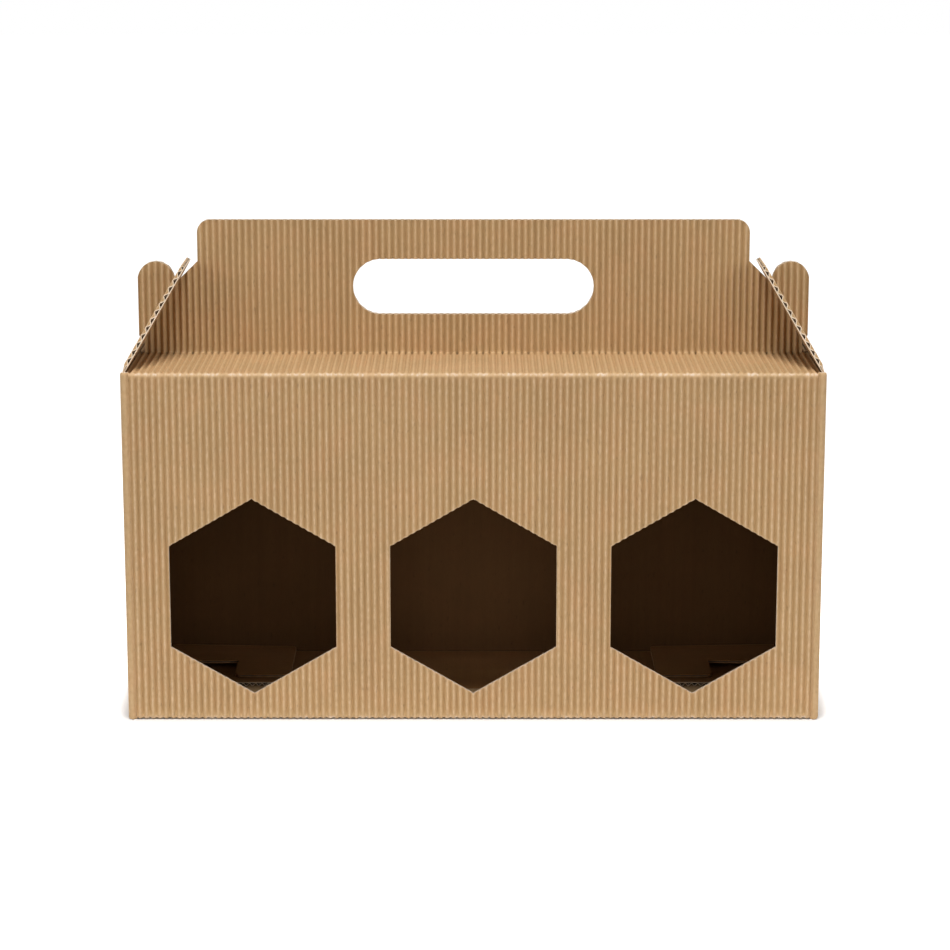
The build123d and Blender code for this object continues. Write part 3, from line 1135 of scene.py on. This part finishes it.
rear_flap = board_sheets(
    rear_flap_layout, on_profile(rear_flap_path, -1, "x", -1), -fold_half, fold_half,
    both_sides(
        recess_half, recess_half + bottom_taper, flap_half - bottom_taper,
        recess_half + leg_round * recess_stops, flap_half - bottom_taper + leg_round * leg_stops,
    ), lining=SHADED_BOTTOM,
)
make_piece("rear_bottom_flap", rear_flap, "box", finishes)

# %% Hooked bottom flaps
hook_root = half_width - foot_reach - fold_reach
hook_corner = hook_round * np.linspace(0, 1, 8)


def hook_layout(y):
    """Rows of a hooked flap, from its root to its tip: sloped front edge, neck, then the hook."""
    front, rear = hook_edges(y)
    ease = corner_ease(y - hook_front)
    tip = hook_tip + ease + corner_ease(hook_rear - y)
    rows = [np.full_like(y, hook_root), front, np.full_like(y, hook_neck) - ease, tip]
    rows = np.minimum(np.maximum(np.array(rows), rear), hook_root)
    kept = every_cell(rows, y)
    kept[1] = middles(y) > hook_back
    kept[2] = middles(y) > hook_front
    return hook_root - rows, kept


def corner_ease(distance):
    """How far a round corner draws the edge back, at a distance from the side it turns into."""
    past = (hook_round - distance).clip(0, hook_round)
    return hook_round - np.sqrt(hook_round ** 2 - past ** 2)


hook_path = bent_path([(hook_root, hook_level), (hook_tip, hook_level)], fold_round)
hook_stops = np.concatenate([
    [hook_back, hook_front, hook_rear], hook_front + hook_corner, hook_rear - hook_corner,
])
# The hooks' liner and cut edges take the darker bottom finish, a painted shade.
for name, sign in (("left_hooked_flap", -1), ("right_hooked_flap", 1)):
    hook = board_sheets(
        hook_layout, on_profile(hook_path, 1, "y", sign), side_root[0], side_root[1], hook_stops,
        lining=SHADED_BOTTOM, cut=SHADED_BOTTOM,
    )
    make_piece(name, hook, "box", finishes)

# %% Glue flap inside the left end
glue_width = 18.0
glue_board = 1.2
glue_taper = 5.0
glue_gap = 1.7
glue_cells = 6
glue_low = side_floor + board + glue_gap
glue_high = box_height - board - glue_gap


def glue_place(across, along, height):
    """Flat on the inside of the left end, its liner facing the jars."""
    return np.stack([-liner_x + height, across, along], axis=-1)


glue_y = np.linspace(liner_y - glue_width, liner_y, glue_cells + 1)
slant = glue_taper * (liner_y - glue_y) / glue_width
glue_rows = rows_between(glue_low + slant, glue_high - slant, glue_cells)
glue_rows = np.vstack([glue_low + slant, *glue_rows])
glue_height = np.full_like(glue_rows, glue_board)
glue_sheet = closed_sheet(
    glue_place, glue_y, glue_rows, every_cell(glue_rows, glue_y),
    glue_height, 0 * glue_height, 0 * glue_height,
)
glue_sheet["finish"] = (SHADED_INSIDE, SHADED_INSIDE, CUT)
make_piece("glue_flap", [glue_sheet], "box", finishes)

# %% [markdown]
# ## Floor, light and camera
# The photograph is a packshot on white. The floor is white to the camera by its own glow, with a share of
# plain diffuse left in it, so the box keeps its contact shadow. Large soft lamps stand for the studio.

# %% White floor
floor_size = 8
floor_white = 0.82
floor_grey = 0.18
grey_reach = 0.5
glow_reach = 0.012


def plain_rays(tree):
    """1 for a ray from the camera, a mirror or clear glass, and 0 for light on its way to a matt face."""
    rays = add_node(tree, "LightPath", {}).outputs
    plain = rays["Is Camera Ray"]
    for ray in ("Is Glossy Ray", "Is Transmission Ray"):
        plain = maths(tree, "MAXIMUM", rays[ray], plain)
    return plain


def white_floor():
    """A wide plane of plain diffuse, white near the box and grey further out, where its bounce would light
    the handle too much. Camera, mirror and clear rays see a glow added to it, from nothing at the box to
    full white further out. Both fade with the distance from the box's foot, length(max(|place| - half, 0)).
    """
    bpy.ops.mesh.primitive_plane_add(size=floor_size)
    floor = bpy.context.object
    floor.name = "studio_floor"
    finish = bpy.data.materials.new("white floor")
    finish.use_nodes = True
    tree = finish.node_tree
    tree.nodes.clear()
    nothing = (0, 0, 0)
    foot = (half_width * MM, half_depth * MM, 0)
    place = add_node(tree, "TexCoord", {}).outputs["Object"]
    for operation, other in (("ABSOLUTE", nothing), ("SUBTRACT", foot), ("MAXIMUM", nothing)):
        place = add_node(tree, "VectorMath", {0: place, 1: other}, operation=operation).outputs["Vector"]
    distance = add_node(tree, "VectorMath", {0: place}, operation="LENGTH").outputs["Value"]
    bounce = ramp(tree, distance, 0.0, grey_reach, floor_white, floor_grey)
    diffuse = add_node(tree, "BsdfDiffuse", {"Color": bounce}).outputs["BSDF"]
    shown = maths(tree, "MULTIPLY", plain_rays(tree), ramp(tree, distance, 0.0, glow_reach))
    glow = add_node(tree, "Emission", {"Strength": shown}).outputs["Emission"]
    both = add_node(tree, "AddShader", {0: diffuse, 1: glow}).outputs["Shader"]
    add_node(tree, "OutputMaterial", {"Surface": both})
    floor.data.materials.append(finish)
    print("floor in m:", tuple(floor.dimensions))


white_floor()


# %% World and lamps
def studio_world(light):
    """Even light on the object, and plain white to the camera and in mirror and clear rays."""
    world = bpy.data.worlds.new("studio")
    bpy.context.scene.world = world
    world.use_nodes = True
    tree = world.node_tree
    levels = {"Value": plain_rays(tree), "To Min": light, "To Max": 1.0}
    strength = add_node(tree, "MapRange", levels).outputs["Result"]
    background = tree.nodes["Background"]
    tree.links.new(strength, background.inputs["Strength"])
    background.inputs["Color"].default_value = (1, 1, 1, 1)


def soft_lamp(name, place, aim, size, watts):
    """A square soft lamp at a place, turned to its aim."""
    lamp = bpy.data.lights.new(name, "AREA")
    lamp.size = size
    lamp.energy = watts
    holder = bpy.data.objects.new(name, lamp)
    bpy.context.collection.objects.link(holder)
    holder.location = place
    away = np.array(place) - np.array(aim)
    flat = math.hypot(away[0], away[1])
    holder.rotation_euler = (math.atan2(flat, away[2]), 0, math.atan2(away[0], -away[1]))


world_light = 0.22
side_size, side_watts = 0.7, 8.3
top_size, top_watts = 0.6, 23.3
rear_size, rear_watts = 0.9, 9
box_centre = (0, 0, handle_top / 2 * MM)
studio_world(world_light)
soft_lamp("left softbox", (-1.3, -1.1, 0.35), box_centre, side_size, side_watts)
soft_lamp("right softbox", (1.3, -1.1, 0.35), box_centre, side_size, side_watts)
soft_lamp("top softbox", (0, -0.5, 1.6), box_centre, top_size, top_watts)
soft_lamp("rear left softbox", (-1.2, 1.2, 0.6), box_centre, rear_size, rear_watts)
soft_lamp("rear right softbox", (1.2, 1.2, 0.6), box_centre, rear_size, rear_watts)

# %% Camera
image_pixels = 950
focal_pixels = 2860
principal_x = 473.4
principal_y = 460.0
sensor_mm = 36
camera_place = (0, -1.095, 0.327)
camera_pitch = math.radians(12.12)
camera_data = bpy.data.cameras.new("packshot camera")
camera_data.sensor_width = sensor_mm
camera_data.lens = sensor_mm * focal_pixels / image_pixels
camera_data.shift_x = 0.5 - principal_x / image_pixels
camera_data.shift_y = principal_y / image_pixels - 0.5
camera = bpy.data.objects.new("packshot camera", camera_data)
bpy.context.collection.objects.link(camera)
camera.location = camera_place
camera.rotation_euler = (math.pi / 2 - camera_pitch, 0, 0)
bpy.context.scene.camera = camera
bpy.context.scene.view_settings.view_transform = "Standard"
print("lens in mm:", round(camera_data.lens, 1))
